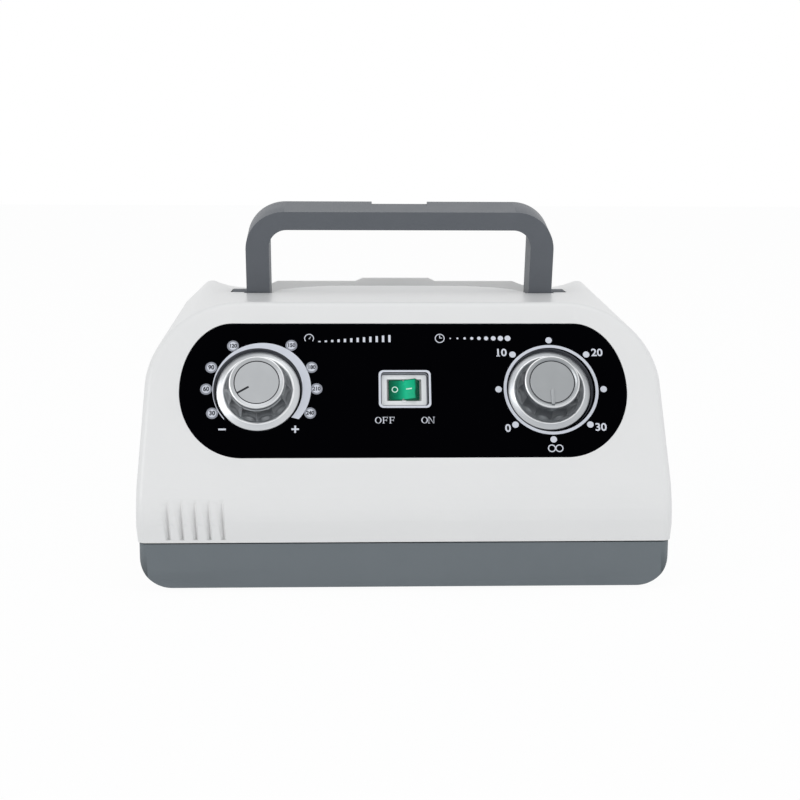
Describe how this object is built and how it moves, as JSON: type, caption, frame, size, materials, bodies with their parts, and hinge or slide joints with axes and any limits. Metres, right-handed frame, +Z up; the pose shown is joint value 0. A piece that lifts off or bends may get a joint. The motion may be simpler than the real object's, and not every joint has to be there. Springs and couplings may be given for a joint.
{
  "type": "compression therapy pump",
  "caption": "Table-top air pump for compression sleeves: leaning panel with a pressure dial, a timer dial and a rocker switch, folding carry handle, air outlets and mains inlet at the back.",
  "frame": {"origin": "on the surface the feet stand on, under the middle of the case", "axes": "+X to the right as the panel is read, +Y from the front to the back, +Z up; the panel faces -Y and up"},
  "size_m": [0.245, 0.162, 0.1729],
  "materials": {
    "shell_white": "white moulded plastic, satin",
    "tray_grey": "grey moulded plastic, matt",
    "handle_grey": "dark grey moulded plastic, fine grain",
    "foot_rubber": "black rubber",
    "screw_steel": "zinc plated steel",
    "panel_black": "black overlay with white print",
    "knob_silver": "silver, brushed",
    "brass": "turned brass",
    "case_plastic": "natural moulded plastic",
    "bezel_white": "white moulded plastic",
    "rocker_green": "green translucent plastic",
    "core_steel": "varnished steel sheets",
    "coil_copper": "enamelled copper wire",
    "hose_grey": "soft grey tube",
    "black_plastic": "black moulded plastic",
    "dark_plastic": "dark grey moulded plastic",
    "fuse_glass": "clear glass tube",
    "wire_red": "insulated wire"
  },
  "bodies": {
    "case": {"upper_shell": "shell_white", "base_tray": "tray_grey", "rubber_feet": "foot_rubber", "case_screws": "screw_steel", "front_panel": "panel_black", "handle_pins": "screw_steel", "pressure_regulator": "brass", "regulator_nut": "screw_steel", "timer_case": "case_plastic", "timer_nut": "screw_steel", "switch_body": "bezel_white", "switch_terminals": "brass", "pump_frame": "core_steel", "pump_mounts": "foot_rubber", "pump_cores": "core_steel", "pump_coils": "coil_copper", "pump_diaphragms": "foot_rubber", "pump_heads": "case_plastic", "distributor_motor": "screw_steel", "distributor_body": "case_plastic", "distributor_cover": "case_plastic", "cover_screws": "screw_steel", "air_block": "case_plastic", "pump_hoses": "hose_grey", "feed_hoses": "hose_grey", "outlet_hoses": "hose_grey", "outlet_socket": "dark_plastic", "mains_inlet": "black_plastic", "inlet_pins": "screw_steel", "terminal_block": "case_plastic", "fuse": "fuse_glass", "wiring": "wire_red"},
    "handle": {"carry_handle": "handle_grey"},
    "pressure_control": {"pressure_knob": "knob_silver", "pressure_spindle": "brass"},
    "timer_control": {"timer_knob": "knob_silver", "timer_spindle": "brass"},
    "rocker": {"switch_rocker": "rocker_green"},
    "armature": {"pump_armature": "screw_steel"},
    "rotor": {"distributor_rotor": "case_plastic", "distributor_shaft": "screw_steel"}
  },
  "joints": [
    {"name": "handle_fold", "type": "hinge", "parent": "case", "child": "handle", "pos_m": [0, 0.0234, 0.1215], "axis": [-1, 0, 0], "range_deg": [0, 102]},
    {"name": "pressure_dial", "type": "hinge", "parent": "case", "child": "pressure_control", "pos_m": [-0.0681, -0.05354, 0.08934], "axis": [0, -0.8695, 0.4939], "range_deg": [-251, 19]},
    {"name": "timer_dial", "type": "hinge", "parent": "case", "child": "timer_control", "pos_m": [0.0681, -0.05354, 0.08934], "axis": [0, -0.8695, 0.4939], "range_deg": [-315, 0]},
    {"name": "power_rocker", "type": "hinge", "parent": "case", "child": "rocker", "pos_m": [0, -0.04849, 0.08648], "axis": [0, 0.4939, 0.8695], "range_deg": [0, 22]},
    {"name": "armature_swing", "type": "slide", "parent": "case", "child": "armature", "axis": [1, 0, 0], "range_m": [-0.0012, 0.0012], "stiffness_N_per_m": 2000},
    {"name": "rotor_turn", "type": "hinge", "parent": "case", "child": "rotor", "pos_m": [0.066, 0.011, 0.0456], "axis": [0, 0, 1], "continuous": true}
  ]
}
